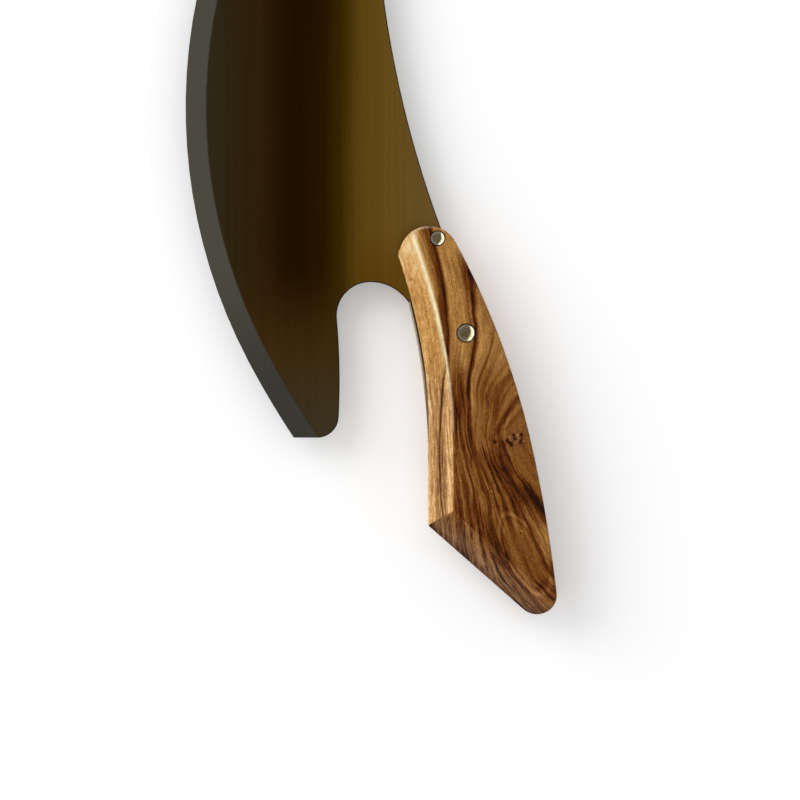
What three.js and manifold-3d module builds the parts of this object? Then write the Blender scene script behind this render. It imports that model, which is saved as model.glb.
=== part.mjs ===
// Rocker knife with a finger notch: a steel blade whose half tang is pinned into a slotted wooden handle.
import * as THREE from 'three';
import { mergeVertices } from 'three/addons/utils/BufferGeometryUtils.js';
import Module from 'manifold-3d';

// Driving sizes, in millimetres and degrees.
// X runs from the blade's tip to the butt, Y from the cutting edge to the spine, Z through the thickness.
// X = 0 is the top of the finger notch, Y = 0 the straight grip line, Z = 0 the middle of the steel.

// Steel plate
const BLADE_THICKNESS = 3;
const STEEL_EDGE_BREAK = 0.3;
const BLANK_END = 49.8;
const SPINE_RISE = 3.65;
const SPINE_ANGLE = 20.2;
const SPINE_RADIUS = 344;
const TIP_RADIUS = 6;

// Cutting edge, from the heel forward
const EDGE_ANGLE = 33.6;
const EDGE_REAR_RADIUS = 279;
const EDGE_REAR_LENGTH = 29;
const EDGE_BELLY_RADIUS = 174;
const EDGE_THICKNESS = 0.3;
const GRIND_WIDTH = 7;

// Heel and finger notch
const FINGER_GAP = 28.3;
const HEEL_WIDTH = 14.7;
const HEEL_CORNER_RADIUS = 6.8;
const HEEL_SIDE_RADIUS = 220;
const HEEL_BULGE = 31.5;
const NOTCH_RADIUS = 10.8;
const NOTCH_SHOULDER = 6.4;

// Handle block
const HANDLE_THICKNESS = 18;
const HANDLE_FRONT = 17.7;
const HANDLE_EDGE_ROUND = 1;
const NOSE_RADIUS = 9.55;
const NOSE_INSET = 1.4;
const GRIP_HOLLOW = 57;
const GRIP_RADIUS = 205;
const GRIP_STRAIGHT = 20.9;
const BACK_NOSE_ANGLE = 28.5;
const BACK_FRONT_RADIUS = 251;
const BACK_FRONT_LENGTH = 68.4;
const BACK_REAR_RADIUS = 429;
const BUTT_ANGLE = 48.7;
const BUTT_CORNER_RADIUS = 1.5;
const BUTT_TIP_RADIUS = 6.3;

// Long chamfers that meet in a ridge on each face and in a narrow land at the tang
const FINGER_CHAMFER_WIDTH = 8.3;
const BUTT_CHAMFER_WIDTH = 9.1;
const CHAMFER_LAND = 0.6;

// Pins
const FRONT_PIN_DIAMETER = 4.5;
const FRONT_PIN_SETBACK = 3.9;
const FRONT_PIN_RISE = 2.7;
const REAR_PIN_DIAMETER = 5.6;
const REAR_PIN_FROM_BACK = 10.1;
const PIN_SPACING = 30.2;
const PIN_CROWN = 0.5;

// Clearances
const GLUE_LINE = 0.3;
const PIN_CLEARANCE = 0.3;

// Fineness of the round stretches, and how far the blade's root and the cutters run on past what they meet
const ARC_STEPS = 28;
const SWEEP_STEPS = 36;
const PIN_SIDES = 32;
const CROWN_STEPS = 4;
const EDGE_ROUND_STEPS = 2;
const EDGE_BREAK_STEPS = 1;
const ROOT_OVERLAP = 6;
const CUT_OVERRUN = 3;
const SAME_POINT = 1e-6;

const CLOCKWISE = true;
const COUNTERCLOCKWISE = false;

const wasm = await Module();
wasm.setup();

// Plane geometry

function point(x, y) {
  return new THREE.Vector2(x, y);
}

// A point at a distance along an angle, which turns from +X towards +Y.
function polar(from, distance, angle) {
  return point(from.x + distance * Math.cos(angle), from.y + distance * Math.sin(angle));
}

function angleOf(centre, p) {
  return Math.atan2(p.y - centre.y, p.x - centre.x);
}

// The point where the ray from a centre through another point leaves a circle.
function onCircle(centre, radius, through) {
  return polar(centre, radius, angleOf(centre, through));
}

// The crossing of two circles that lies left of the line from the first centre to the second.
function circlesMeet(first, firstRadius, second, secondRadius) {
  const apart = first.distanceTo(second);
  const along = (apart ** 2 + firstRadius ** 2 - secondRadius ** 2) / (2 * apart);
  const across = Math.sqrt(firstRadius ** 2 - along ** 2);
  const direction = angleOf(first, second);
  return polar(polar(first, along, direction), across, direction + Math.PI / 2);
}

function addArc(path, centre, from, to, clockwise) {
  const radius = centre.distanceTo(from);
  path.absarc(centre.x, centre.y, radius, angleOf(centre, from), angleOf(centre, to), clockwise);
}

// A closed shape from a path, with its arcs in short chords and no doubled points.
function closedShape(path) {
  const points = path.getPoints(ARC_STEPS / 2);
  const kept = points.filter((p, i) => p.distanceTo(points.at(i - 1)) > SAME_POINT);
  return new THREE.Shape(kept);
}

// A flat path as a curve in space, so that a section can be swept along it.
class FlatCurve extends THREE.Curve {
  constructor(path) {
    super();
    this.path = path;
  }

  getPoint(t) {
    const p = this.path.getPoint(t);
    return new THREE.Vector3(p.x, p.y, 0);
  }
}

// Solids

function solidOf(geometry) {
  const bare = geometry.clone();
  bare.deleteAttribute('normal');
  bare.deleteAttribute('uv');
  const merged = mergeVertices(bare);
  const vertProperties = new Float32Array(merged.attributes.position.array);
  const triVerts = new Uint32Array(merged.index.array);
  return new wasm.Manifold(new wasm.Mesh({ numProp: 3, vertProperties, triVerts }));
}

function geometryOf(solid) {
  const mesh = solid.getMesh();
  const geometry = new THREE.BufferGeometry();
  geometry.setAttribute('position', new THREE.BufferAttribute(mesh.vertProperties, 3));
  geometry.setIndex(new THREE.BufferAttribute(mesh.triVerts, 1));
  geometry.computeVertexNormals();
  return geometry;
}

// A plate of a given outline and thickness, centred on Z = 0, with its edges broken.
function plate(path, thickness, edgeBreak, steps) {
  const geometry = new THREE.ExtrudeGeometry(closedShape(path), {
    depth: thickness - 2 * edgeBreak,
    bevelThickness: edgeBreak,
    bevelSize: edgeBreak,
    bevelOffset: -edgeBreak,
    bevelSegments: steps,
  });
  geometry.translate(0, 0, edgeBreak - thickness / 2);
  return solidOf(geometry);
}

function block(low, high) {
  const size = high.clone().sub(low);
  const middle = low.clone().add(high).multiplyScalar(0.5);
  const geometry = new THREE.BoxGeometry(size.x, size.y, size.z);
  geometry.translate(middle.x, middle.y, middle.z);
  return solidOf(geometry);
}

// A wedge to cut off a plate along a path that has the plate's material on its left. The cut slopes from
// half the land at the path up to the plate's face at the given width. A side of -1 cuts the lower face.
function bevelCutter(path, width, thickness, land, side) {
  const slope = (thickness - land) / 2 / width;
  const outer = -CUT_OVERRUN;
  const inner = width + CUT_OVERRUN;
  const height = (offset) => side * (land / 2 + slope * offset);
  const section = new THREE.Shape([
    point(-height(outer), outer),
    point(-height(inner), inner),
    point(-height(inner), outer),
  ]);
  const extrudePath = new FlatCurve(path);
  return solidOf(new THREE.ExtrudeGeometry(section, { steps: SWEEP_STEPS, extrudePath }));
}

function bevelBothFaces(solid, path, width, thickness, land) {
  const upper = bevelCutter(path, width, thickness, land, 1);
  const lower = bevelCutter(path, width, thickness, land, -1);
  return solid.subtract(upper).subtract(lower);
}

// Handle outline

const gripStart = point(GRIP_HOLLOW, 0);
const gripCentre = point(GRIP_HOLLOW, -GRIP_RADIUS);
const buttCorner = point(GRIP_HOLLOW + GRIP_STRAIGHT, 0);
const buttAngle = THREE.MathUtils.degToRad(BUTT_ANGLE);
const inwardFromButt = buttAngle + Math.PI / 2;

// A point of the hollow finger side, which the handle's front carries on.
function gripPoint(x) {
  return point(x, gripCentre.y + Math.sqrt(GRIP_RADIUS ** 2 - (x - gripCentre.x) ** 2));
}

// The nose is a round end that stands a little inside the finger side.
const noseX = NOSE_RADIUS - HANDLE_FRONT;
const noseCentre = point(noseX, gripPoint(noseX).y + NOSE_INSET + NOSE_RADIUS);

// The back is two tangent arcs: the front one leaves the nose, and the rear one runs on to the butt.
const backNoseAngle = THREE.MathUtils.degToRad(BACK_NOSE_ANGLE);
const backJoinAngle = backNoseAngle - BACK_FRONT_LENGTH / BACK_FRONT_RADIUS;
const backStart = polar(noseCentre, NOSE_RADIUS, backNoseAngle + Math.PI / 2);
const backFrontCentre = polar(backStart, BACK_FRONT_RADIUS, backNoseAngle - Math.PI / 2);
const backJoin = polar(backFrontCentre, BACK_FRONT_RADIUS, backJoinAngle + Math.PI / 2);
const backRearCentre = polar(backJoin, BACK_REAR_RADIUS, backJoinAngle - Math.PI / 2);

function backPoint(x) {
  return point(x, backFrontCentre.y + Math.sqrt(BACK_FRONT_RADIUS ** 2 - (x - backFrontCentre.x) ** 2));
}

// The centre of the round that joins the butt to the rear arc of the back, in the angle between them.
function findButtTip() {
  const start = polar(buttCorner, BUTT_TIP_RADIUS, inwardFromButt);
  const toCentre = backRearCentre.clone().sub(start);
  const along = toCentre.x * Math.cos(buttAngle) + toCentre.y * Math.sin(buttAngle);
  const reach = BACK_REAR_RADIUS - BUTT_TIP_RADIUS;
  const half = Math.sqrt(reach ** 2 - toCentre.lengthSq() + along ** 2);
  return polar(start, along + half, buttAngle);
}

const buttTipCentre = findButtTip();
const buttTipEnd = polar(buttTipCentre, -BUTT_TIP_RADIUS, inwardFromButt);

function handleOutline() {
  const cornerRun = BUTT_CORNER_RADIUS * Math.tan(buttAngle / 2);
  const cornerStart = polar(buttCorner, cornerRun, buttAngle);
  const cornerCentre = point(buttCorner.x - cornerRun, BUTT_CORNER_RADIUS);
  const cornerEnd = point(cornerCentre.x, 0);
  const buttTipStart = onCircle(backRearCentre, BACK_REAR_RADIUS, buttTipCentre);
  const noseStart = point(noseCentre.x, noseCentre.y - NOSE_RADIUS);
  const path = new THREE.Path();
  path.moveTo(cornerEnd.x, cornerEnd.y);
  path.lineTo(gripStart.x, gripStart.y);
  addArc(path, gripCentre, gripStart, gripPoint(noseCentre.x), COUNTERCLOCKWISE);
  addArc(path, noseCentre, noseStart, backStart, CLOCKWISE);
  addArc(path, backFrontCentre, backStart, backJoin, CLOCKWISE);
  addArc(path, backRearCentre, backJoin, buttTipStart, CLOCKWISE);
  addArc(path, buttTipCentre, buttTipStart, buttTipEnd, CLOCKWISE);
  addArc(path, cornerCentre, cornerStart, cornerEnd, CLOCKWISE);
  return path;
}

function fingerLine() {
  const path = new THREE.Path();
  const front = gripPoint(-HANDLE_FRONT - CUT_OVERRUN);
  addArc(path, gripCentre, front, gripStart, CLOCKWISE);
  path.lineTo(buttCorner.x + BUTT_CHAMFER_WIDTH, 0);
  return path;
}

function buttLine() {
  const start = polar(buttCorner, -FINGER_CHAMFER_WIDTH, buttAngle);
  const end = polar(buttTipEnd, BUTT_TIP_RADIUS + BUTT_CHAMFER_WIDTH, buttAngle);
  const path = new THREE.Path();
  path.moveTo(start.x, start.y);
  path.lineTo(end.x, end.y);
  return path;
}

// The handle's outer form, before the slot is sawn: the tang is ground flush with it.
function handleBlock() {
  const blank = plate(handleOutline(), HANDLE_THICKNESS, HANDLE_EDGE_ROUND, EDGE_ROUND_STEPS);
  const gripped = bevelBothFaces(blank, fingerLine(), FINGER_CHAMFER_WIDTH, HANDLE_THICKNESS, CHAMFER_LAND);
  return bevelBothFaces(gripped, buttLine(), BUTT_CHAMFER_WIDTH, HANDLE_THICKNESS, CHAMFER_LAND);
}

// A flat layer through a solid, from ahead of its front to a given X.
function layer(solid, end, thickness) {
  const { min, max } = solid.boundingBox();
  const low = new THREE.Vector3(min[0] - CUT_OVERRUN, min[1] - CUT_OVERRUN, -thickness / 2);
  const high = new THREE.Vector3(end, max[1] + CUT_OVERRUN, thickness / 2);
  return block(low, high);
}

// Blade outline

const spineAngle = THREE.MathUtils.degToRad(SPINE_ANGLE);
const spineFoot = point(-HANDLE_FRONT, noseCentre.y + SPINE_RISE);
const spineCentre = polar(spineFoot, SPINE_RADIUS, spineAngle + Math.PI / 2);
const heelPoint = point(BLANK_END, -FINGER_GAP - HEEL_WIDTH);
const edgeAngle = THREE.MathUtils.degToRad(EDGE_ANGLE);
const edgeJoinAngle = edgeAngle - EDGE_REAR_LENGTH / EDGE_REAR_RADIUS;
const edgeRearCentre = polar(heelPoint, EDGE_REAR_RADIUS, edgeAngle + Math.PI / 2);
const edgeJoin = polar(edgeRearCentre, EDGE_REAR_RADIUS, edgeJoinAngle - Math.PI / 2);
const bellyCentre = polar(edgeJoin, EDGE_BELLY_RADIUS, edgeJoinAngle + Math.PI / 2);
const tipCentre = circlesMeet(
  bellyCentre, EDGE_BELLY_RADIUS - TIP_RADIUS, spineCentre, SPINE_RADIUS + TIP_RADIUS);
const bellyEnd = onCircle(bellyCentre, EDGE_BELLY_RADIUS, tipCentre);

function bladeOutline() {
  const spineStart = onCircle(spineCentre, SPINE_RADIUS, tipCentre);
  const spineEnd = polar(spineCentre, SPINE_RADIUS, spineAngle - Math.PI / 2 + ROOT_OVERLAP / SPINE_RADIUS);
  const heelSideCentre = point(HEEL_BULGE, -FINGER_GAP - HEEL_SIDE_RADIUS);
  const notchRise = HEEL_SIDE_RADIUS + NOTCH_RADIUS;
  const notchY = heelSideCentre.y + Math.sqrt(notchRise ** 2 - (HEEL_BULGE - NOTCH_RADIUS) ** 2);
  const notchTop = point(0, notchY);
  const notchCentre = point(NOTCH_RADIUS, notchY);
  const shoulder = gripPoint(NOTCH_SHOULDER);
  const shoulderRadius = (NOTCH_SHOULDER ** 2 + (shoulder.y - notchY) ** 2) / (2 * NOTCH_SHOULDER);
  const shoulderCentre = point(shoulderRadius, notchY);
  const heelSideStart = onCircle(heelSideCentre, HEEL_SIDE_RADIUS, notchCentre);
  const cornerX = BLANK_END - HEEL_CORNER_RADIUS;
  const cornerReach = HEEL_SIDE_RADIUS - HEEL_CORNER_RADIUS;
  const cornerRise = Math.sqrt(cornerReach ** 2 - (cornerX - HEEL_BULGE) ** 2);
  const cornerCentre = point(cornerX, heelSideCentre.y + cornerRise);
  const cornerStart = onCircle(heelSideCentre, HEEL_SIDE_RADIUS, cornerCentre);
  const path = new THREE.Path();
  path.moveTo(heelPoint.x, heelPoint.y);
  addArc(path, edgeRearCentre, heelPoint, edgeJoin, CLOCKWISE);
  addArc(path, bellyCentre, edgeJoin, bellyEnd, CLOCKWISE);
  addArc(path, tipCentre, bellyEnd, spineStart, CLOCKWISE);
  addArc(path, spineCentre, spineStart, spineEnd, COUNTERCLOCKWISE);
  path.lineTo(shoulder.x, shoulder.y + ROOT_OVERLAP);
  path.lineTo(shoulder.x, shoulder.y);
  addArc(path, shoulderCentre, shoulder, notchTop, COUNTERCLOCKWISE);
  addArc(path, notchCentre, notchTop, heelSideStart, COUNTERCLOCKWISE);
  addArc(path, heelSideCentre, heelSideStart, cornerStart, CLOCKWISE);
  addArc(path, cornerCentre, cornerStart, point(BLANK_END, cornerCentre.y), CLOCKWISE);
  return path;
}

// The cutting edge from past the tip to past the heel.
function edgeLine() {
  const overrun = (TIP_RADIUS + CUT_OVERRUN) / EDGE_BELLY_RADIUS;
  const start = polar(bellyCentre, EDGE_BELLY_RADIUS, angleOf(bellyCentre, bellyEnd) - overrun);
  const end = polar(heelPoint, GRIND_WIDTH, edgeAngle);
  const path = new THREE.Path();
  addArc(path, bellyCentre, start, edgeJoin, COUNTERCLOCKWISE);
  addArc(path, edgeRearCentre, edgeJoin, heelPoint, COUNTERCLOCKWISE);
  path.lineTo(end.x, end.y);
  return path;
}

// Pins

const frontPin = point(FRONT_PIN_SETBACK - HANDLE_FRONT, noseCentre.y + FRONT_PIN_RISE);
const rearPinX = frontPin.x + PIN_SPACING;
const rearPin = point(rearPinX, backPoint(rearPinX).y - REAR_PIN_FROM_BACK);

// A rod through the whole handle, with crowned ends whose tops lie level with the wood.
function pinSolid(place, diameter) {
  const radius = diameter / 2;
  const crownRadius = (radius ** 2 + PIN_CROWN ** 2) / (2 * PIN_CROWN);
  const crownAngle = Math.asin(radius / crownRadius);
  const crown = [];
  for (let i = 0; i <= CROWN_STEPS; i += 1) {
    const angle = (crownAngle * i) / CROWN_STEPS;
    const drop = crownRadius * (1 - Math.cos(angle));
    crown.push(point(crownRadius * Math.sin(angle), HANDLE_THICKNESS / 2 - drop));
  }
  const lowerCrown = crown.map((p) => point(p.x, -p.y));
  const geometry = new THREE.LatheGeometry([...lowerCrown, ...crown.reverse()], PIN_SIDES);
  geometry.rotateX(Math.PI / 2);
  geometry.translate(place.x, place.y, 0);
  return solidOf(geometry);
}

function pinHole(place, diameter) {
  const radius = diameter / 2 + PIN_CLEARANCE;
  const length = HANDLE_THICKNESS + 2 * CUT_OVERRUN;
  const geometry = new THREE.CylinderGeometry(radius, radius, length, PIN_SIDES);
  geometry.rotateX(Math.PI / 2);
  geometry.translate(place.x, place.y, 0);
  return solidOf(geometry);
}

function drill(solid) {
  const frontHole = pinHole(frontPin, FRONT_PIN_DIAMETER);
  const rearHole = pinHole(rearPin, REAR_PIN_DIAMETER);
  return solid.subtract(frontHole).subtract(rearHole);
}

// Pieces

function bladeSolid(outerForm) {
  const steel = plate(bladeOutline(), BLADE_THICKNESS, STEEL_EDGE_BREAK, EDGE_BREAK_STEPS);
  const sharpened = bevelBothFaces(steel, edgeLine(), GRIND_WIDTH, BLADE_THICKNESS, EDGE_THICKNESS);
  const tang = outerForm.intersect(layer(outerForm, BLANK_END, BLADE_THICKNESS));
  return drill(sharpened.add(tang));
}

function handleSolid(outerForm) {
  const slot = layer(outerForm, BLANK_END + GLUE_LINE, BLADE_THICKNESS + 2 * GLUE_LINE);
  return drill(outerForm.subtract(slot));
}

function piece(name, solid, material) {
  const mesh = new THREE.Mesh(geometryOf(solid), new THREE.MeshStandardMaterial(material));
  mesh.name = name;
  return mesh;
}

const STEEL = { color: 0x4a4230, roughness: 0.35, metalness: 1 };
const OLIVE_WOOD = { color: 0xa06a38, roughness: 0.4, metalness: 0 };
const PIN_METAL = { color: 0xb8b6a6, roughness: 0.15, metalness: 1 };

const outerForm = handleBlock();
const knife = new THREE.Group();
knife.add(piece('blade', bladeSolid(outerForm), STEEL));
knife.add(piece('handle', handleSolid(outerForm), OLIVE_WOOD));
knife.add(piece('front_pin', pinSolid(frontPin, FRONT_PIN_DIAMETER), PIN_METAL));
knife.add(piece('rear_pin', pinSolid(rearPin, REAR_PIN_DIAMETER), PIN_METAL));

// The knife lies on one flat side of the handle, with the origin under the middle of its box.
const box = new THREE.Box3().setFromObject(knife);
const middle = box.getCenter(new THREE.Vector3());
knife.position.set(-middle.x, -middle.y, -box.min.z);
knife.updateMatrixWorld(true);

export default knife;
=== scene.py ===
# %% [markdown]
# # A rocker knife with an olive-wood handle
# The imported model is the frame: every piece below stands where its solid stands, in metres, on the same axes.
# X runs from the blade's tip to the handle's butt, Y from the cutting edge to the spine, and Z up through the
# thickness. The box of the solids is kept first.

import math

import bmesh
import bpy
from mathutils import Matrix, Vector


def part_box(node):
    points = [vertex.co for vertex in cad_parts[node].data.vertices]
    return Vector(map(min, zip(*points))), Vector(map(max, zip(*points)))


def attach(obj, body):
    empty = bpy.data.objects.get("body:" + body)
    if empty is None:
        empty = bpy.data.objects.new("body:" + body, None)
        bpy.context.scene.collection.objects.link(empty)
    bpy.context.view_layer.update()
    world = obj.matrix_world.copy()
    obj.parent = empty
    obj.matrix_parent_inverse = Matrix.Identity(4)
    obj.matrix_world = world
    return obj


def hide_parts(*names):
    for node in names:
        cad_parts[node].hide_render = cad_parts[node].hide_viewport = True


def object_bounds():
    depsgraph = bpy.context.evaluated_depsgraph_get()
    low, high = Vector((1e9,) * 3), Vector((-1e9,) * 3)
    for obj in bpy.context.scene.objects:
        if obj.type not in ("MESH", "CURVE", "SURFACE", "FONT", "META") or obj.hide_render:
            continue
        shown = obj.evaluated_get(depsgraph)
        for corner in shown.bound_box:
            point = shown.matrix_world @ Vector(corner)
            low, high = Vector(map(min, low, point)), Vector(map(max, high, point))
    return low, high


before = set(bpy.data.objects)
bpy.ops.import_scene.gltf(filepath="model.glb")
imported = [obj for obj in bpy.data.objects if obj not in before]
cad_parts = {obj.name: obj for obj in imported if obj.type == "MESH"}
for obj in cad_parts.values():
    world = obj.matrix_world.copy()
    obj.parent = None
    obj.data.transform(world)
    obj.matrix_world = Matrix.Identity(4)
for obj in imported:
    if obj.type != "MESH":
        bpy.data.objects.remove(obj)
CAD_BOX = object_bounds()
MM = 0.001
print("nodes", sorted(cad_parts))
print("box in mm", [[round(v / MM, 2) for v in corner] for corner in CAD_BOX])

# %% [markdown]
# ## Reading the photograph
# The knife was pictured from straight above, with the blade up and the handle down. So the picture's right is +Y
# and its foot is +X, and one pixel of its 800 by 800 frame is 0.32 mm. A place that was read off the picture, such
# as a knot in the wood, is written in pixels, and this helper turns it into millimetres on the knife.

# %% Picture scale
PIXEL = 0.32
FRAME_PIXELS = 800
NOTCH_TOP = 37.914
GRIP_LINE = 18.286
NOTCH_TOP_PIXEL = 282
GRIP_LINE_PIXEL = 428


def along(pixel_row):
    """Millimetres along X for a row of the picture."""
    return NOTCH_TOP + (pixel_row - NOTCH_TOP_PIXEL) * PIXEL


def across(pixel_column):
    """Millimetres along Y for a column of the picture."""
    return GRIP_LINE + (pixel_column - GRIP_LINE_PIXEL) * PIXEL


print("picture centre in mm", round(along(FRAME_PIXELS / 2), 2), round(across(FRAME_PIXELS / 2), 2))

# %% [markdown]
# ## Camera
# A view from straight above with no visible perspective calls for a long lens from far away. The distance follows
# from the width that the picture covers at the blade's upper face.

# %% Camera
LENS = 250.0
SENSOR = 36.0
BLADE_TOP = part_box("blade")[1].z


def add_camera():
    data = bpy.data.cameras.new("overhead_camera")
    data.lens = LENS
    data.sensor_width = SENSOR
    camera = bpy.data.objects.new("overhead_camera", data)
    width = FRAME_PIXELS * PIXEL * MM
    height = BLADE_TOP + width * LENS / SENSOR
    centre = FRAME_PIXELS / 2
    camera.location = (along(centre) * MM, across(centre) * MM, height)
    camera.rotation_euler = (0, 0, math.pi / 2)
    bpy.context.scene.collection.objects.link(camera)
    bpy.context.scene.camera = camera
    return camera


print("camera height in m", round(add_camera().location.z, 3))

# %% [markdown]
# ## Shader sums
# A finish is easier to read as a sum than as a web of boxes. A Wire holds one socket, and each operator on it adds
# a Math node. A Finish holds one node tree, and its node method adds a node of any other kind.

# %% Wire and Finish


class Wire:
    """A shader socket that can stand in a sum."""

    def __init__(self, finish, socket):
        self.finish = finish
        self.socket = socket

    def __add__(self, other):
        return self.finish.math("ADD", self, other)

    def __radd__(self, other):
        return self.finish.math("ADD", other, self)

    def __sub__(self, other):
        return self.finish.math("SUBTRACT", self, other)

    def __rsub__(self, other):
        return self.finish.math("SUBTRACT", other, self)

    def __mul__(self, other):
        return self.finish.math("MULTIPLY", self, other)

    def __rmul__(self, other):
        return self.finish.math("MULTIPLY", other, self)

    def __truediv__(self, other):
        return self.finish.math("DIVIDE", self, other)

    def __rtruediv__(self, other):
        return self.finish.math("DIVIDE", other, self)

    def __neg__(self):
        return self.finish.math("MULTIPLY", self, -1.0)

    def __abs__(self):
        return self.finish.math("ABSOLUTE", self)


class Finish:
    """One node tree that is built up by sums."""

    def __init__(self, tree):
        self.tree = tree
        tree.nodes.clear()

    def node(self, kind, settings=None, sockets=None, output=0):
        """Adds a node, sets it, fills its sockets with values or wires and gives one output as a Wire."""
        made = self.tree.nodes.new("ShaderNode" + kind)
        for name, value in (settings or {}).items():
            if name == "stops":
                self.set_stops(made.color_ramp, value)
            elif name == "curve":
                self.set_curve(made.mapping, value)
            else:
                setattr(made, name, value)
        for key, value in (sockets or {}).items():
            socket = self.find(made.inputs, key)
            if isinstance(value, Wire):
                self.tree.links.new(value.socket, socket)
            else:
                socket.default_value = value
        if not made.outputs:
            return None
        return Wire(self, self.find(made.outputs, output))

    @staticmethod
    def find(sockets, key):
        if isinstance(key, int):
            return sockets[key]
        named = [s for s in sockets if s.identifier == key] or [s for s in sockets if s.name == key]
        return named[0]

    @staticmethod
    def set_stops(ramp, stops):
        while len(ramp.elements) < len(stops):
            ramp.elements.new(1.0)
        for element, (place, colour) in zip(ramp.elements, stops):
            element.position = place
            element.color = colour

    @staticmethod
    def set_curve(mapping, points):
        curve = mapping.curves[0]
        while len(curve.points) < len(points):
            curve.points.new(1.0, 1.0)
        for held, (place, value) in zip(curve.points, points):
            held.location = (place, value)
        mapping.update()

    def math(self, operation, *values, clamp=False):
        settings = {"operation": operation, "use_clamp": clamp}
        return self.node("Math", settings, dict(enumerate(values)))

    def mix(self, factor, first, second, blend="MIX"):
        settings = {"data_type": "RGBA", "blend_type": blend}
        sockets = {"Factor_Float": factor, "A_Color": first, "B_Color": second}
        return self.node("Mix", settings, sockets, "Result_Color")

    def step(self, value, low, high):
        """Rises smoothly from 0 at low to 1 at high."""
        sockets = {"Value": value, "From Min": low, "From Max": high}
        return self.node("MapRange", {"interpolation_type": "SMOOTHSTEP"}, sockets)

    def bell(self, value, centre, width):
        """Is 1 at the centre and fades to both sides."""
        off = (value - centre) / width
        return self.math("EXPONENT", -(off * off))

    def spot(self, place, centre, width):
        """Is 1 at a point of the plane and fades around it."""
        return self.bell(self.node("VectorMath", {"operation": "DISTANCE"}, {0: place, 1: centre}, "Value"), 0.0, width)

    def vector(self, x, y, z):
        return self.node("CombineXYZ", None, {0: x, 1: y, 2: z})

    def noise(self, place, detail=2.0, roughness=0.5):
        """Even noise around 0, from about -0.5 to 0.5."""
        sockets = {"Vector": place, "Scale": 1.0, "Detail": detail, "Roughness": roughness}
        return self.node("TexNoise", None, sockets) - 0.5

    def millimetres(self):
        """The piece's own coordinates as three wires, in millimetres."""
        place = self.node("TexCoord", None, None, "Object")
        scaled = self.node("VectorMath", {"operation": "SCALE"}, {0: place, "Scale": 1 / MM})
        return [self.node("SeparateXYZ", None, {0: scaled}, axis) for axis in "XYZ"]

    def surface(self, **sockets):
        """A Principled surface on the tree's output."""
        named = {key.replace("_", " "): value for key, value in sockets.items()}
        shader = self.node("BsdfPrincipled", None, named)
        self.node("OutputMaterial", None, {"Surface": shader})


def new_finish(name):
    material = bpy.data.materials.new(name)
    material.use_nodes = True
    return material, Finish(material.node_tree)


def screen(red, green, blue):
    """A colour as a screen gives it, 0 to 255, in the linear numbers that shaders use."""
    shares = [value / 255 for value in (red, green, blue)]
    linear = [s / 12.92 if s <= 0.04045 else ((s + 0.055) / 1.055) ** 2.4 for s in shares]
    return (*linear, 1.0)


print("mid grey", [round(v, 3) for v in screen(128, 128, 128)])

# %% [markdown]
# ## Stage
# A white floor, a sky that is dim overhead and white at the horizon, and one large soft lamp from the upper left
# of the picture. The dim overhead is what makes flat steel look dark from above. A card on the right is seen by
# gloss alone, and puts the bright crescent on the pins.

# %% Floor
FLOOR_SIDE = 16.0
FLOOR_DROP = 0.0001
FLOOR_WHITE = 0.9
FLOOR_LIFT = 0.2


def seen_directly(finish):
    """Is 1 for what the camera sees, also through gloss and glass."""
    rays = [finish.node("LightPath", None, None, name) for name in
            ("Is Camera Ray", "Is Glossy Ray", "Is Transmission Ray")]
    return finish.math("MAXIMUM", finish.math("MAXIMUM", rays[0], rays[1]), rays[2])


def add_floor():
    half = FLOOR_SIDE / 2
    mesh = bpy.data.meshes.new("floor")
    corners = [(-half, -half), (half, -half), (half, half), (-half, half)]
    mesh.from_pydata([(x, y, -FLOOR_DROP) for x, y in corners], [], [(0, 1, 2, 3)])
    material, finish = new_finish("white_floor")
    x, y, _ = finish.millimetres()
    shade = FLOOR_WHITE + 0.01 * finish.noise(finish.vector(x * 0.01, y * 0.01, 0.0))
    white = finish.node("CombineColor", None, {0: shade, 1: shade, 2: shade})
    matt = finish.node("BsdfDiffuse", None, {"Color": white})
    lift = finish.node("Emission", None, {"Color": (1, 1, 1, 1), "Strength": FLOOR_LIFT * seen_directly(finish)})
    both = finish.node("AddShader", None, {0: matt, 1: lift})
    finish.node("OutputMaterial", None, {"Surface": both})
    mesh.materials.append(material)
    floor = bpy.data.objects.new("floor", mesh)
    bpy.context.scene.collection.objects.link(floor)
    return floor


print("floor side in m", add_floor().dimensions.x)

# %% Sky and lamps
SKY_OVERHEAD = 0.6
SKY_HORIZON = 1.0
KEY_FROM = Vector((-0.55, -0.75, 0.6)).normalized()
KEY_DISTANCE = 2.6
KEY_SIDE = 2.2
KEY_POWER = 36.0
CARD_FROM = Vector((0.12, 0.50, 0.87)).normalized()
CARD_DISTANCE = 0.8
CARD_SIZE = (0.44, 1.3)
CARD_POWER = 6.6


def set_sky():
    world = bpy.data.worlds.new("studio_sky")
    world.use_nodes = True
    finish = Finish(world.node_tree)
    direction = finish.node("TexCoord", None, None, "Generated")
    height = finish.node("SeparateXYZ", None, {0: direction}, "Z")
    share = finish.step(height, 0.1, 0.85)
    strength = SKY_HORIZON + share * (SKY_OVERHEAD - SKY_HORIZON)
    glow = finish.node("Background", None, {"Color": (1, 1, 1, 1), "Strength": strength})
    finish.node("OutputWorld", None, {"Surface": glow})
    bpy.context.scene.world = world


def add_lamp(name, towards, distance, size, power):
    data = bpy.data.lights.new(name, "AREA")
    data.shape = "RECTANGLE"
    data.size, data.size_y = size
    data.energy = power
    lamp = bpy.data.objects.new(name, data)
    centre = (CAD_BOX[0] + CAD_BOX[1]) / 2
    lamp.location = centre + towards * distance
    lamp.rotation_euler = towards.to_track_quat("Z", "X").to_euler()
    bpy.context.scene.collection.objects.link(lamp)
    return lamp


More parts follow.
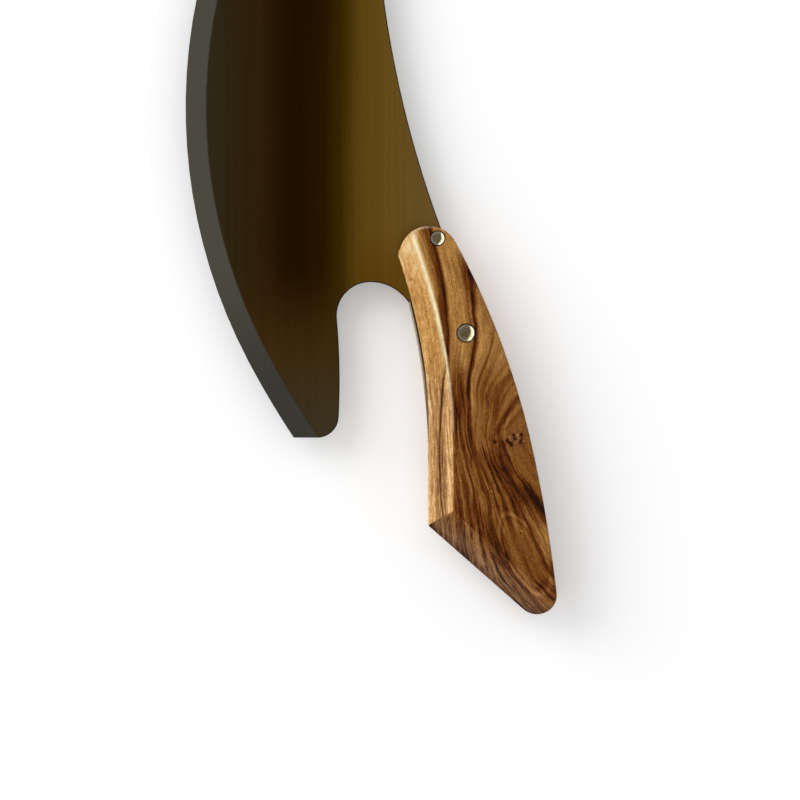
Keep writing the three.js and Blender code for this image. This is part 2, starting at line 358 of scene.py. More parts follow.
set_sky()
key = add_lamp("key_lamp", KEY_FROM, KEY_DISTANCE, (KEY_SIDE, KEY_SIDE), KEY_POWER)
card = add_lamp("crescent_card", CARD_FROM, CARD_DISTANCE, CARD_SIZE, CARD_POWER)
card.visible_diffuse = False
key.visible_glossy = False
bpy.context.scene.view_settings.view_transform = "Standard"

# %% [markdown]
# ## Olive wood
# Olive wood is tan with brown and near-black lines that follow the growth of the tree and swing round knots. A
# pattern of straight bands would look like printed foil, so the lines get a coordinate of their own, `ring`, which
# stays the same along each line of the grain. One line is traced from the picture: it runs past the rear pin, bends
# round the knot and leaves over the butt. Between that line and the finger side the grain is lofted from one to the
# other. On the far side the lines keep a distance that closes up beside the knot. The rings lean, so a cut through
# the block at a slope, as the chamfers are, shows them closer together and turned.

# %% Grain field
GRAIN_START = 18.0
GRAIN_LENGTH = 128.0
GRAIN_LOW = 24.0
GRAIN_SPAN = 36.0
TRACED_LINE = [(262, 466), (286, 471), (319, 473.5), (333, 475), (357, 471.5), (387, 467.6), (412, 469.4),
               (432, 469.8), (458, 474.8), (489, 484.5), (525, 491.5), (563, 504), (590, 523.5), (612, 547)]
SPREAD_MOST = 3.0
SPREAD = [(222, 1.0), (340, 1.0), (357, 0.87), (371, 0.68), (382, 0.49), (396, 0.32), (408, 0.27), (420, 0.22),
          (432, 0.17), (442, 0.15), (455, 0.165), (470, 0.2), (487, 0.31), (505, 0.45), (540, 0.63), (612, 0.75)]
LEFT_RINGS = 13.0
RING_LEAN = -0.45
HANDLE_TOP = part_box("handle")[1].z / MM
FINGER_ARC_CENTRE = (94.914, -186.714)
FINGER_ARC_RADIUS = 205.0
FINGER_CHAMFER = 8.3
BUTT_CORNER = (115.814, 18.286)
BUTT_TURN = math.radians(48.7)
BUTT_CHAMFER = 9.1


def from_finger_side(finish, x, y):
    """Distance in from the hollow finger side and the straight that follows it."""
    ahead = finish.math("MINIMUM", x - FINGER_ARC_CENTRE[0], 0.0)
    arc = finish.math("SQRT", FINGER_ARC_RADIUS ** 2 - ahead * ahead)
    return y - FINGER_ARC_CENTRE[1] - arc


def from_butt(finish, x, y):
    """Distance in from the slanting butt."""
    return (BUTT_CORNER[0] - x) * math.sin(BUTT_TURN) + (y - BUTT_CORNER[1]) * math.cos(BUTT_TURN)


def on_finger_side(finish, x, y):
    """Is 1 where the finger chamfer cuts deeper than the butt's, 0 where the butt's does."""
    lead = from_butt(finish, x, y) / BUTT_CHAMFER - from_finger_side(finish, x, y) / FINGER_CHAMFER
    return finish.step(lead, -0.02, 0.02)


def grain_field(finish, x, y, z):
    """The ring coordinate, and the plain distance from the traced line."""
    share = (x - GRAIN_START) / GRAIN_LENGTH
    line = [((along(row) - GRAIN_START) / GRAIN_LENGTH, (across(column) - GRAIN_LOW) / GRAIN_SPAN)
            for row, column in TRACED_LINE]
    spread = [((along(row) - GRAIN_START) / GRAIN_LENGTH, value) for row, value in SPREAD]
    traced = finish.node("FloatCurve", {"curve": line}, {"Value": share})
    opening = finish.node("FloatCurve", {"curve": spread}, {"Value": share})
    off = y - (traced * GRAIN_SPAN + GRAIN_LOW)
    to_line = from_finger_side(finish, x, y) - off
    wave = finish.noise(finish.vector(x * 0.13, y * 0.25, z * 0.25), 3.0)
    waved = off + wave * (0.8 + 1.0 * finish.step(x, along(340), along(420)))
    right = finish.math("MAXIMUM", waved, 0.0) / (1.0 + opening * SPREAD_MOST)
    left = finish.math("MINIMUM", waved, 0.0) / to_line * LEFT_RINGS
    butt_drop = (BUTT_CHAMFER - from_butt(finish, x, y)) * (HANDLE_TOP / 2 / BUTT_CHAMFER)
    on_butt = 1.0 - on_finger_side(finish, x, y)
    below = HANDLE_TOP - z - finish.math("MAXIMUM", butt_drop, 0.0) * on_butt
    return right + left + below * RING_LEAN, off


print("traced line in mm", [(round(along(r), 1), round(across(c), 1)) for r, c in TRACED_LINE[::4]])

# %% [markdown]
# The lines themselves are noise that is stretched far along the grain, in several sizes from broad bands of tone
# down to fibres. The lines that anyone would know the piece by, such as the black streak below the front pin, are
# placed on the ring coordinate, each with a stretch of the handle where it shows.

# %% Streaks and knots
# Each streak: ring place and its drift per mm, width and depth, and the picture rows where it fades in and out.
STREAKS = [
    (-5.60, -0.028, 0.42, 0.58, 210, 224, 350, 378),
    (-6.50, -0.028, 0.50, 0.33, 210, 228, 335, 370),
    (0.0, 0.0, 0.26, 0.54, 256, 266, 372, 405),
    (-0.8, 0.0, 0.75, 0.28, 248, 262, 272, 300),
    (-0.9, 0.0, 0.60, 0.16, 258, 280, 330, 365),
    (0.0, 0.0, 0.40, 0.26, 366, 388, 520, 560),
    (-1.6, 0.0, 0.50, 0.20, 362, 376, 402, 420),
    (-2.6, 0.0, 0.38, 0.24, 355, 385, 520, 570),
    (-1.3, 0.0, 0.22, 0.16, 378, 400, 500, 540),
    (-3.9, 0.0, 0.28, 0.20, 392, 415, 515, 540),
    (1.4, 0.0, 0.12, 0.20, 325, 345, 405, 425),
    (2.2, 0.0, 0.26, 0.22, 440, 462, 510, 540),
    (3.6, 0.0, 0.20, 0.16, 448, 470, 500, 530),
    (4.9, 0.0, 0.48, 0.19, 352, 368, 408, 432),
    (4.0, 0.0, 0.22, -0.07, 356, 372, 420, 445),
    (2.4, 0.0, 1.10, 0.09, 358, 374, 394, 412),
    (14.62, -0.212, 0.60, 0.24, 388, 398, 430, 444),
    (13.70, -0.212, 0.40, -0.06, 384, 396, 430, 440),
    (15.70, -0.212, 0.30, -0.08, 396, 406, 432, 442),
    (16.60, -0.212, 0.45, 0.10, 394, 404, 424, 434),
    (6.3, 0.0, 0.35, 0.16, 422, 432, 446, 458),
    (6.9, 0.0, 0.26, 0.28, 434, 446, 512, 526),
    (6.5, 0.0, 0.95, 0.28, 476, 500, 518, 532),
    (-6.6, 0.0, 0.40, 0.22, 512, 520, 560, 590),
    (-8.4, 0.0, 0.35, 0.24, 512, 520, 550, 580),
    (-11.6, 0.0, 0.90, 0.20, 512, 518, 545, 560),
]
STREAK_START = 300
# The dark line along the chamfer: picture column and row of its innermost point, and its bend per mm.
CHAMFER_LINE = (439.3, 450)
CHAMFER_LINE_BEND = 0.0026
# Each eye of the knot: picture column and row, and radius in mm.
KNOT_EYES = [(507.0, 440.2, 0.54), (510.8, 444.4, 0.60), (508.9, 442.4, 0.36), (513.0, 434.8, 0.42), (514.6, 438.8, 0.42),
             (520.9, 434.6, 0.52), (521.4, 438.4, 0.34), (519.8, 442.0, 0.52), (494.6, 442.0, 0.46)]
# Small spots: picture column and row, radius in mm and change of tone. The first and third are painted glints, the
# others dark pits and pale flecks round the knot.
SPECKS = [(521.3, 530.4, 0.26, 0.42), (520.0, 532.3, 0.28, -0.4), (491.1, 491.0, 0.26, 0.4), (411.1, 279.6, 0.3, -0.35),
          (517.3, 441.0, 0.5, 0.2), (510.2, 437.4, 0.5, 0.16), (517.4, 434.6, 0.45, 0.16), (523.6, 440.5, 0.45, 0.16)]
KNOT = (515, 438)
KNOT_WIDTH = 3.2
KNOT_RED = screen(140, 90, 60)
DARK_PATCH = (515, 499)
DARK_PATCH_WIDTH = 4.2
PALE_LENS = (524, 553)
PALE_LENS_TURN = math.radians(28)
PALE_LENS_LENGTH = 11.5
PALE_LENS_WIDTH = 4.6


def streaks(finish, x, ring):
    """All the listed streaks together."""
    total = 0.0
    for place, drift, width, depth, *rows in STREAKS:
        enter, full, fade, leave = (along(row) for row in rows)
        shows = finish.step(x, enter, full) * (1.0 - finish.step(x, fade, leave))
        held = ring - (x - along(STREAK_START)) * drift if drift else ring
        total = finish.bell(held, place, width) * shows * depth + total
    return total


def chamfer_line(finish, x, y, wave):
    """The dark line on the finger chamfer, a shallow bow."""
    away = x - along(CHAMFER_LINE[1])
    bow = y - across(CHAMFER_LINE[0]) - away * away * CHAMFER_LINE_BEND + wave * 1.5
    shows = finish.step(x, along(345), along(380)) * (1.0 - finish.step(x, along(506), along(524)))
    heavy = 1.0 + 0.3 * finish.bell(x, along(402), 9.0)
    twin = finish.bell(bow, 0.95, 0.2) * finish.step(x, along(422), along(440)) * 0.5
    return (finish.bell(bow, 0.0, 0.32) * heavy + twin) * shows


def knot_eyes(finish, plane):
    total = 0.0
    for column, row, radius in KNOT_EYES:
        total = finish.spot(plane, (along(row), across(column), 0.0), radius) + total
    return finish.math("MINIMUM", total, 1.0)


def specks(finish, plane):
    total = 0.0
    for column, row, radius, change in SPECKS:
        total = finish.spot(plane, (along(row), across(column), 0.0), radius) * change + total
    return total


def lens_distance(finish, x, y):
    """How far out a point lies from the pale lens near the butt: 1 on its outline."""
    from_x = x - along(PALE_LENS[1])
    from_y = y - across(PALE_LENS[0])
    cos, sin = math.cos(PALE_LENS_TURN), math.sin(PALE_LENS_TURN)
    length = (from_x * cos + from_y * sin) / PALE_LENS_LENGTH
    width = (from_y * cos - from_x * sin) / PALE_LENS_WIDTH
    return finish.math("SQRT", length * length + width * width)


print("streaks", len(STREAKS), "knot eyes", len(KNOT_EYES))

# %% Olive wood finish
WOOD_TONES = [
    (0.00, screen(34, 8, 0)),
    (0.18, screen(74, 31, 2)),
    (0.36, screen(104, 55, 13)),
    (0.48, screen(128, 80, 30)),
    (0.62, screen(154, 108, 57)),
    (0.74, screen(186, 134, 67)),
    (0.82, screen(203, 153, 88)),
    (0.90, screen(222, 176, 114)),
    (1.00, screen(243, 208, 152)),
]
FRONT_TONE = 0.645
REAR_TONE = 0.40
HIGHLIGHT_CREAM = screen(255, 240, 198)
GOLD = screen(170, 122, 40)
BUTT_SHEEN_GREY = screen(118, 88, 66)
CHAMFER_TAN = screen(190, 148, 108)


def olive_wood():
    material, finish = new_finish("olive_wood")
    x, y, z = finish.millimetres()
    ring, off = grain_field(finish, x, y, z)
    inset = from_finger_side(finish, x, y)
    behind = from_butt(finish, x, y)
    depth = HANDLE_TOP / 2 - abs(z - HANDLE_TOP / 2)
    sloped = finish.step(depth, 0.1, 0.5)
    finger_wins = on_finger_side(finish, x, y)
    chamfer = sloped * finger_wins * (1.0 - finish.step(inset, FINGER_CHAMFER, FINGER_CHAMFER + 0.6))
    butt = sloped * (1.0 - finger_wins) * (1.0 - finish.step(behind, BUTT_CHAMFER, BUTT_CHAMFER + 0.6))
    rear = finish.step(x, along(338), along(412))
    upper = finish.step(z, 6.0, 11.0)

    bands = finish.noise(finish.vector(x * 0.03, ring * 0.36, z * 0.04), 3.0, 0.6)
    lines = finish.noise(finish.vector(x * 0.045, ring * 1.25, z * 0.05), 3.0, 0.58)
    fine = finish.noise(finish.vector(x * 0.14, ring * 4.6, z * 0.2), 2.0)
    fibres = finish.noise(finish.vector(x * 0.16, off * 4.5, z * 4.5), 2.0)
    grit = finish.noise(finish.vector(x * 2.2, y * 3.2, z * 3.2), 1.0)
    wave = finish.noise(finish.vector(x * 0.09, y * 0.2, z * 0.2), 2.0)

    mottle = finish.noise(finish.vector(x * 0.35, y * 0.6, z * 0.6), 2.0)

    lively = 0.35 + 0.65 * rear
    calm = finish.step(ring, 7.2, 8.4) * rear
    tone = FRONT_TONE - rear * (FRONT_TONE - REAR_TONE - 0.05 * finish.step(ring, 0.5, 7.0))
    lens = lens_distance(finish, x, y) + wave * 0.3
    inside = 1.0 - finish.step(lens, 0.75, 1.0)
    tone = tone - finish.step(ring, 0.0, 1.0) * (1.0 - rear) * 0.02 + inside * 0.03
    rear_ridge_highlight = finish.step(inset, 4.4, 6.6) * rear
    by_tang = 1.0 - finish.step(inset, 1.0, 1.8)
    pale_front = 1.0 - finish.step(x, along(255), along(300))
    # Painted light: the finger chamfer is made lighter than the face, as the lamp on that side lights it; more at the
    # front, along the ridge at the rear as a painted highlight, and by the tang.
    tone = tone + chamfer * (0.135 + 0.115 * rear + 0.11 * pale_front + 0.12 * rear_ridge_highlight + 0.1 * by_tang)
    tone = tone + chamfer * mottle * 0.3
    by_corner = 1.0 - finish.step(x, along(525), along(565))
    # Painted shadow along the butt's outer edge, and painted shade on the handle's far end, whose round rim is in
    # shade.
    tone = tone + butt * (0.09 + 0.08 * by_corner - 0.2 * (1.0 - finish.step(behind, 0.3, 2.6)))
    tone = tone - 0.14 * finish.step(x, along(598), along(611))
    loop = finish.step(ring, 0.6, 1.4) * finish.step(x, along(340), along(365)) * (1.0 - finish.step(x, along(425), along(460)))
    lively = lively * (1.0 - 0.75 * calm) * (1.0 - 0.6 * inside) * (1.0 + 0.3 * butt)
    lively = lively * (1.0 - 0.35 * loop) * (1.0 - 0.35 * chamfer)
    flecks = finish.noise(finish.vector(x * 0.13, ring * 2.1, z * 0.3), 2.0, 0.6)
    tone = tone + loop * 0.05
    tone = tone + (bands * 1.0 + lines * 1.35 + fine * 0.65 + mottle * 0.2) * lively + fibres * 0.44 + grit * 0.4
    tone = tone - finish.step(flecks, 0.08, 0.2) * lively * 0.22
    tone = tone - finish.math("MAXIMUM", tone - 0.5, 0.0) * 0.45 * rear * (1.0 - chamfer)
    tone = tone - streaks(finish, x, ring) * upper * (1.0 - chamfer)
    # The chamfer line is grain; the small lift of the rear chamfer is more painted light.
    tone = tone - chamfer_line(finish, x, y, wave) * chamfer * 0.45 + chamfer * rear * 0.03
    marred = finish.vector(x + grit * 0.9, y + fine * 1.2, 0.0)
    knot = finish.spot(marred, (along(KNOT[1]), across(KNOT[0]), 0.0), KNOT_WIDTH) * upper
    tone = tone + knot * (finish.noise(finish.vector(x * 1.1, y * 1.1, 0.0), 2.0) * 0.9 - 0.06)
    outline = finish.bell(lens, 1.06, 0.07) * 0.1 + finish.bell(lens, 1.4, 0.09) * 0.07 - finish.bell(lens, 1.22, 0.05) * 0.1
    patch = finish.spot(marred, (along(DARK_PATCH[1]), across(DARK_PATCH[0]), 0.0), DARK_PATCH_WIDTH) * 0.13
    tone = tone - (outline + patch) * upper
    crumble = finish.noise(finish.vector(x * 1.1 + 7.0, y * 1.1, 0.0), 1.0)
    crumbled = finish.vector(x + crumble * 1.3, y + grit * 0.9, 0.0)
    tone = tone + (specks(finish, marred) - knot_eyes(finish, crumbled) * 0.6) * upper
    # Painted highlight with some wear: pale cream on the finger ridge's round, on the nose's rim and corner, and in a
    # band beside the ridge.
    highlight_and_wear = finish.node("Attribute", {"attribute_name": "worn_ridge"}, None, "Fac")
    past_nose = finish.step(x, along(234), along(244))
    highlight_and_wear = highlight_and_wear * (1.0 - 0.8 * finish.step(inset, FINGER_CHAMFER - 0.1, FINGER_CHAMFER + 0.5) * past_nose)
    nose_corner_highlight = (1.0 - finish.step(x, along(236), along(242))) * (1.0 - finish.step(y, across(415.5), across(418.5)))
    highlight_and_wear = finish.math("MAXIMUM", highlight_and_wear, nose_corner_highlight * (1.0 - chamfer) * upper * 0.28)
    front_highlight_share = 1.0 - finish.step(x, along(285), along(410))
    ridge_side_highlight = finish.step(inset, FINGER_CHAMFER - 1.6, FINGER_CHAMFER - 0.2) * chamfer * front_highlight_share
    ridge_side_highlight = ridge_side_highlight * (0.3 + 0.7 * past_nose)
    golden = finish.step(inset, FINGER_CHAMFER, FINGER_CHAMFER + 0.7) * (1.0 - finish.step(ring, -8.0, -6.9))
    golden = golden * (1.0 - sloped) * (1.0 - finish.step(x, along(305), along(345)))

    colour = finish.node("ValToRGB", {"stops": WOOD_TONES}, {0: tone}, "Color")
    # Painted sheen: the butt facet is greyed as a grey reflection would grey it, most along its outer edge.
    butt_sheen = butt * (0.65 - 0.5 * finish.step(behind, 1.5, 8.5))
    colour = finish.mix(butt_sheen, colour, finish.mix(1.0, colour, BUTT_SHEEN_GREY, "COLOR"))
    colour = finish.mix(chamfer * rear * 0.4, colour, finish.mix(1.0, colour, CHAMFER_TAN, "COLOR"))
    colour = finish.mix(golden * 0.85, colour, GOLD)
    colour = finish.mix(knot * 0.5, colour, finish.mix(1.0, colour, KNOT_RED, "COLOR"))
    # Painted highlight: cream in the band beside the ridge and on the ridge's round.
    colour = finish.mix(ridge_side_highlight * (0.7 + mottle), colour, HIGHLIGHT_CREAM)
    colour = finish.mix(highlight_and_wear * (1.0 + grit * 1.6 + mottle), colour, HIGHLIGHT_CREAM)
    relief = finish.node("Bump", None, {"Strength": 0.15, "Distance": 0.06 * MM, "Height": fibres + fine + grit})
    finish.surface(Base_Color=colour, Roughness=0.5 - tone * 0.15, Specular_IOR_Level=0.03,
                   Coat_Weight=highlight_and_wear * 0.2, Coat_Roughness=0.2, Normal=relief)
    return material


OLIVE_WOOD = olive_wood()
print(OLIVE_WOOD.name, "nodes", len(OLIVE_WOOD.node_tree.nodes))

# %% [markdown]
# ## Blade steel
# The blade is rolled plate with a satin skin. Its colour holds a painted reflection: soft bands of tone that run
# along it, from olive at the edge side through a brown so dark that it is nearly black to a warm olive at the spine.
# Towards the heel the painted reflection fades into one grey brown. The ground edge is fresh metal, so it is grey.
# Walls and broken edges are painted dark as painted shade, and so is the part of the tang that lies in the shade of
# the slot. Which face is which is stored on the blade's faces when it is made.

# %% Blade steel finish
STEEL_MIDDLE = 9.0
# Painted reflection of a dark warm room in the steel: the plate's tone at each picture column.
STEEL_REFLECTION_BANDS = [
    (203, screen(60, 52, 34)),
    (236, screen(58, 43, 20)),
    (262, screen(57, 38, 15)),
    (284, screen(43, 24, 2)),
    (303, screen(40, 21, 1)),
    (324, screen(47, 28, 2)),
    (342, screen(67, 46, 4)),
    (362, screen(109, 80, 24)),
    (384, screen(116, 87, 30)),
    (440, screen(114, 90, 46)),
]
HEEL_BROWN = screen(71, 50, 18)
HEEL_GREY = screen(71, 59, 37)
NOTCH_OLIVE = screen(100, 68, 12)
GROUND_PALE = screen(100, 96, 84)
GROUND_GREY = screen(77, 75, 67)
STEEL_HALF = 1.5
WALL_BLACK = screen(24, 15, 6)
WALL_GREY = screen(92, 86, 74)
TANG_DARK = screen(80, 58, 34)
TANG_SHADE = screen(140, 110, 70)
TANG_GREY = screen(205, 190, 165)
TANG_BROWN = screen(150, 126, 100)
TANG_FROM = 43.0
TANG_CLOSES = (362, 446)
TANG_LEFT = 0.22


def blade_steel():
    material, finish = new_finish("blade_steel")
    x, y, z = finish.millimetres()
    low, high = across(STEEL_REFLECTION_BANDS[0][0]), across(STEEL_REFLECTION_BANDS[-1][0])
    drift = finish.noise(finish.vector(x * 0.012, y * 0.02, 0.0), 2.0)
    share = (y + drift * 4.0 - low) / (high - low)
    stops = [((across(column) - low) / (high - low), colour) for column, colour in STEEL_REFLECTION_BANDS]
    plate = finish.node("ValToRGB", {"stops": stops}, {0: share}, "Color")
    heel = finish.mix(finish.step(x, along(340), along(425)), HEEL_BROWN, HEEL_GREY)
    plate = finish.mix(finish.step(x, along(260), along(365)) * (1.0 - finish.step(y, 0.0, 6.0)), plate, heel)
    by_notch = finish.step(x, along(220), along(282)) * finish.step(y, -8.0, -3.0)
    plate = finish.mix(by_notch * 0.75, plate, NOTCH_OLIVE)
    rolling = finish.noise(finish.vector(x * 0.012, y * 0.9, z * 0.9), 3.0, 0.65)
    scratches = finish.noise(finish.vector(x * 0.2, y * 12.0, z * 12.0), 2.0)
    plate = finish.mix(0.12 + rolling * 0.5 + scratches * 0.2, plate, (0.0, 0.0, 0.0, 1.0))
    ground = finish.node("Attribute", {"attribute_name": "ground_edge"}, None, "Fac")
    wall = finish.node("Attribute", {"attribute_name": "side_wall"}, None, "Fac")
    broken = finish.node("Attribute", {"attribute_name": "broken_edge"}, None, "Fac")
    grey = finish.mix(finish.step(x, along(250), along(400)), GROUND_PALE, GROUND_GREY)
    grey = finish.mix(0.1 + scratches * 0.3, grey, (0.0, 0.0, 0.0, 1.0))
    ground_away = finish.step(STEEL_HALF - abs(z - STEEL_MIDDLE), 0.0, 0.16)
    colour = finish.mix(ground * ground_away, plate, grey)
    # Painted shade: walls darken to mottled grey and black, broken edges to black.
    colour = finish.mix(wall, colour, finish.mix(0.15 + rolling * 0.6 + scratches * 0.3, WALL_GREY, WALL_BLACK))
    colour = finish.mix(broken, colour, WALL_BLACK)
    by_fingers = finish.step(y, 0.0, 1.0) * (1.0 - finish.step(from_finger_side(finish, x, y), 2.5, 3.5))
    on_tang = finish.step(x, TANG_FROM, TANG_FROM + 1.0) * by_fingers
    start, end = (along(row) for row in TANG_CLOSES)
    closed = finish.math("DIVIDE", x - start, end - start, clamp=True)
    opening = 1.0 - closed * closed * (1.0 - TANG_LEFT)
    # On the tang's edge the light grey outer strip, browner towards its end, is painted reflection, and the dark inner
    # part is painted shade.
    outer = 1.0 - finish.step(abs(z - STEEL_MIDDLE) / opening, 0.8, 0.95)
    shade = finish.mix(finish.step(x, along(350), along(400)), TANG_DARK, TANG_SHADE)
    strip = finish.mix(finish.step(x, along(362), along(412)), TANG_GREY, TANG_BROWN)
    colour = finish.mix(on_tang, colour, finish.mix(outer, shade, strip))
    finish.surface(Base_Color=colour, Metallic=1.0, Roughness=0.28 + rolling * 0.06 + scratches * 0.06)
    return material


BLADE_STEEL = blade_steel()
print(BLADE_STEEL.name, "nodes", len(BLADE_STEEL.node_tree.nodes))

# %% [markdown]
# ## Blade and handle
# The solids already have the right shapes, so each piece starts as a welded copy of its solid. Flat faces are
# dissolved into single polygons, because thin triangles shade badly. The handle's ridges are then rounded as hand
# sanding leaves them, and the points on the round carry a value that the wood shows as wear and as a painted highlight.

# %% Welded copies
WELD = 1e-6
FLAT = math.radians(0.2)


def welded_copy(node):
    mesh = bmesh.new()
    mesh.from_mesh(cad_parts[node].data)
    bmesh.ops.remove_doubles(mesh, verts=mesh.verts, dist=WELD)
    bmesh.ops.dissolve_limit(mesh, angle_limit=FLAT, verts=mesh.verts, edges=mesh.edges)
    mesh.normal_update()
    return mesh


def add_piece(name, mesh, material, sharp_angle):
    """Makes an object of a bmesh, smooth but for edges sharper than the angle."""
    data = bpy.data.meshes.new(name)
    mesh.to_mesh(data)
    mesh.free()
    data.materials.clear()
    data.materials.append(material)
    data.polygons.foreach_set("use_smooth", [True] * len(data.polygons))
    data.set_sharp_from_angle(angle=math.radians(sharp_angle))
    piece = bpy.data.objects.new(name, data)
    bpy.context.scene.collection.objects.link(piece)
    weighted = piece.modifiers.new("flat_faces_rule", "WEIGHTED_NORMAL")
    weighted.keep_sharp = True
    view = bpy.context.evaluated_depsgraph_get()
    piece.data = bpy.data.meshes.new_from_object(piece.evaluated_get(view))
    piece.modifiers.clear()
    return piece


def dress(piece, slot, *nodes):
    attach(piece, "root")
    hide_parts(*nodes)
    print(piece.name, "faces", len(piece.data.polygons), "replaces", nodes)


# %% Blade piece
LEVEL_FACE = 0.9999
GROUND_FACE = 0.95
WALL_FACE = 0.3
STEEL_BREAK = 0.32 * MM
GLUE_FILLED = 0.27 * MM
TANG_EDGE = 2.0
TANG_SINK = 0.12 * MM


def inset_at(x, y):
    """Distance in from the finger side, for plain numbers in millimetres."""
    ahead = min(x - FINGER_ARC_CENTRE[0], 0.0)
    return y - FINGER_ARC_CENTRE[1] - math.sqrt(FINGER_ARC_RADIUS ** 2 - ahead ** 2)


def tang_closed(x):
    """How far the wood has closed over the tang's edge: 0 in front of the stretch, 1 at its end."""
    start, end = (along(row) for row in TANG_CLOSES)
    return max(0.0, min(1.0, (x - start) / (end - start))) ** 2


def sink_tang(mesh):
    """Draws the tang's edge in where the wood closes over it."""
    for vertex in mesh.verts:
        x, y = vertex.co.x / MM, vertex.co.y / MM
        if tang_closed(x) > 0 and y > 0 and inset_at(x, y) < TANG_EDGE:
            vertex.co.y += TANG_SINK * tang_closed(x)


def blade_mesh():
    """The blade, with its ground faces, broken edges and walls marked by how steep they stand."""
    mesh = welded_copy("blade")
    end = max(v.co.x for v in mesh.verts)
    for vertex in mesh.verts:
        if vertex.co.x > end - STEEL_BREAK and vertex.co.y > 0:
            vertex.co.x += GLUE_FILLED
    sink_tang(mesh)
    ground = mesh.faces.layers.float.new("ground_edge")
    broken = mesh.faces.layers.float.new("broken_edge")
    wall = mesh.faces.layers.float.new("side_wall")
    for face in mesh.faces:
        rise = abs(face.normal.z)
        face[ground] = 1.0 if GROUND_FACE < rise < LEVEL_FACE else 0.0
        face[broken] = 1.0 if WALL_FACE < rise <= GROUND_FACE else 0.0
        face[wall] = 1.0 if rise <= WALL_FACE else 0.0
    print("ground faces", sum(f[ground] > 0 for f in mesh.faces), "walls", sum(f[wall] > 0 for f in mesh.faces))
    return mesh


blade = add_piece("rocker_blade", blade_mesh(), BLADE_STEEL, 6)
dress(blade, "blade_steel", "blade")

# %% Handle piece
RIDGE_ROUND = 0.6 * MM
RIDGE_STEPS = 4
SLOPE = (0.6, 0.8)
SLOT_HALF = 1.8 * MM
SLOT_SLACK = 0.02 * MM
TANG_HALF = 1.53 * MM
LIP_INSET = 2.2
LAND_HALF = 0.3
NOSE_RIM = (7.5, 8.8)


def ridge_edges(mesh):
    """The edges where a long chamfer meets a face, and where the two chamfers meet."""
    found = []
    for edge in mesh.edges:
        heights = [face.normal.z for face in edge.link_faces]
        low, high = sorted(abs(h) for h in heights)
        if heights[0] * heights[1] <= 0 or not SLOPE[0] < low < SLOPE[1]:
            continue
        meets_face = high > 0.999
        meets_chamfer = high < SLOPE[1] and edge.calc_face_angle() > 0.3
        if meets_face or meets_chamfer:
            found.append(edge)
    return found


def ridge_highlight_and_wear_at(x):
    """How much wear and painted highlight the finger ridge gets: most behind the nose, none at its end."""
    fading = max(0.0, min(1.0, (along(440) - x) / (along(440) - along(330))))
    arriving = max(0.0, min(1.0, (x - along(229)) / (along(243) - along(229))))
    return fading * (0.1 + 0.9 * arriving)


def nose_rim_highlight(place):
    """The painted highlight on the round rim of the nose, from the finger side to the pin."""
    x, y, z = place / MM
    on_rim = NOSE_RIM[0] < abs(z - HANDLE_TOP / 2) < NOSE_RIM[1]
    on_nose = x < along(250) and inset_at(x, y) > 0
    return 0.26 * max(0.0, min(1.0, (across(436) - y) / 4.0)) if on_rim and on_nose else 0.0


def close_slot(mesh):
    """Brings the walls of the slot up to the tang, as the glue in the line does, and its lips out along the chamfer."""
    middle = STEEL_MIDDLE * MM
    run = FINGER_CHAMFER / (HANDLE_TOP / 2 - LAND_HALF)
    moved = 0
    for vertex in mesh.verts:
        away = vertex.co.z - middle
        if abs(abs(away) - SLOT_HALF) < SLOT_SLACK:
            x, y = vertex.co.x / MM, vertex.co.y / MM
            half = TANG_HALF
            if 0 < inset_at(x, y) < LIP_INSET:
                half = TANG_HALF * (1.0 - tang_closed(x) * (1.0 - TANG_LEFT))
                vertex.co.y -= (SLOT_HALF - half) * run
            vertex.co.z = middle + math.copysign(half, away)
            moved += 1
    print("slot points moved", moved)


def handle_mesh():
    mesh = welded_copy("handle")
    close_slot(mesh)
    highlight_and_wear = mesh.verts.layers.float.new("worn_ridge")
    ridges = ridge_edges(mesh)
    made = bmesh.ops.bevel(mesh, geom=ridges, offset=RIDGE_ROUND, offset_type="OFFSET", segments=RIDGE_STEPS,
                           profile=0.5, affect="EDGES", clamp_overlap=False)
    fresh = set(made["faces"])
    # The points on the round get wear and a painted highlight; the nose's rim gets a painted highlight.
    for vertex in made["verts"]:
        if all(face in fresh for face in vertex.link_faces):
            vertex[highlight_and_wear] = ridge_highlight_and_wear_at(vertex.co.x / MM)
    for vertex in mesh.verts:
        vertex[highlight_and_wear] = max(vertex[highlight_and_wear], nose_rim_highlight(vertex.co))
    print("ridge edges", len(ridges), "worn points", sum(v[highlight_and_wear] > 0 for v in mesh.verts))
    return mesh


handle = add_piece("olive_handle", handle_mesh(), OLIVE_WOOD, 50)
dress(handle, "olive_wood", "handle")

# %% [markdown]
# ## Pins
# Both pins are rods whose ends were hammered into low domes. The same rule makes both, so it is a node tree with
# named inputs: a grid is wrapped round into a rod, its two ends are closed into domes, and a little noise leaves
# the flats of the hammer.

# %% Pin metal finish
PIN_METAL_COLOUR = screen(158, 155, 145)
PIN_DARK_REFLECTION_AND_TARNISH = screen(110, 95, 58)


def pin_metal():
    material, finish = new_finish("pin_metal")
    x, y, z = finish.millimetres()
    tarnish = finish.noise(finish.vector(x * 0.9, y * 0.9, z * 0.3), 3.0)
    fine = finish.noise(finish.vector(x * 6.0, y * 6.0, z * 2.0), 2.0)
    reach = finish.node("Attribute", {"attribute_name": "head_reach"}, None, "Fac")
    # Painted reflection: the head is dark olive in its middle and brighter metal towards its rim, with noise of tarnish
    # over it.
    colour = finish.mix(0.9 - 0.6 * finish.step(reach, 0.5, 0.8) + tarnish * 1.3, PIN_METAL_COLOUR, PIN_DARK_REFLECTION_AND_TARNISH)
    finish.surface(Base_Color=colour, Metallic=1.0, Roughness=0.14 + fine * 0.1 + tarnish * 0.08)
    return material


PIN_METAL = pin_metal()
print(PIN_METAL.name, "nodes", len(PIN_METAL.node_tree.nodes))

# %% Pin tree
ROUND_STEPS = 65
PROFILE_STEPS = 49
DOME_SHARE = 0.36
FLARE_POWER = 12.0


